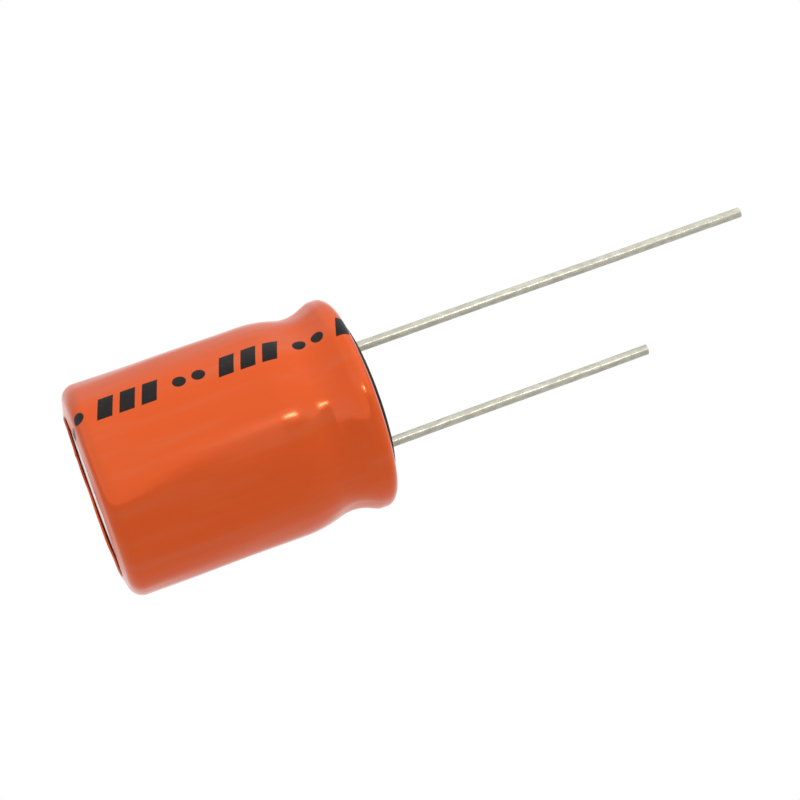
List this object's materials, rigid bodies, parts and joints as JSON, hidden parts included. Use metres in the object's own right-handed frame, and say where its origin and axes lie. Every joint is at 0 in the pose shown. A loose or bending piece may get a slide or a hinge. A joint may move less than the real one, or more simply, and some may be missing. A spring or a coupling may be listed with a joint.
{
  "type": "radial supercapacitor",
  "caption": "Radial can supercapacitor in an orange shrink sleeve, with a beaded rim, a black rubber seal and straight wire leads of uneven length.",
  "frame": {"origin": "on the can's axis, on the plane that the closed end stands on", "axes": "+Z along the axis towards the leads; +X from the positive lead to the negative lead"},
  "size_m": [0.0164, 0.0162, 0.0539],
  "materials": {
    "sleeve": "smooth heat-shrunk film with soft lengthwise waves and black print",
    "can": "drawn, satin",
    "seal": "moulded, matt",
    "element": "carbon-coated foil edges and separator",
    "tape": "thin amber film",
    "tab": "pressed",
    "tinned_wire": "tinned, lightly marked"
  },
  "bodies": {
    "root": {"sleeve": "sleeve", "can": "can", "rubber_seal": "seal", "wound_element": "element", "element_tape": "tape", "positive_tab": "tab", "negative_tab": "tab", "positive_lead": "tinned_wire", "negative_lead": "tinned_wire"}
  },
  "joints": []
}
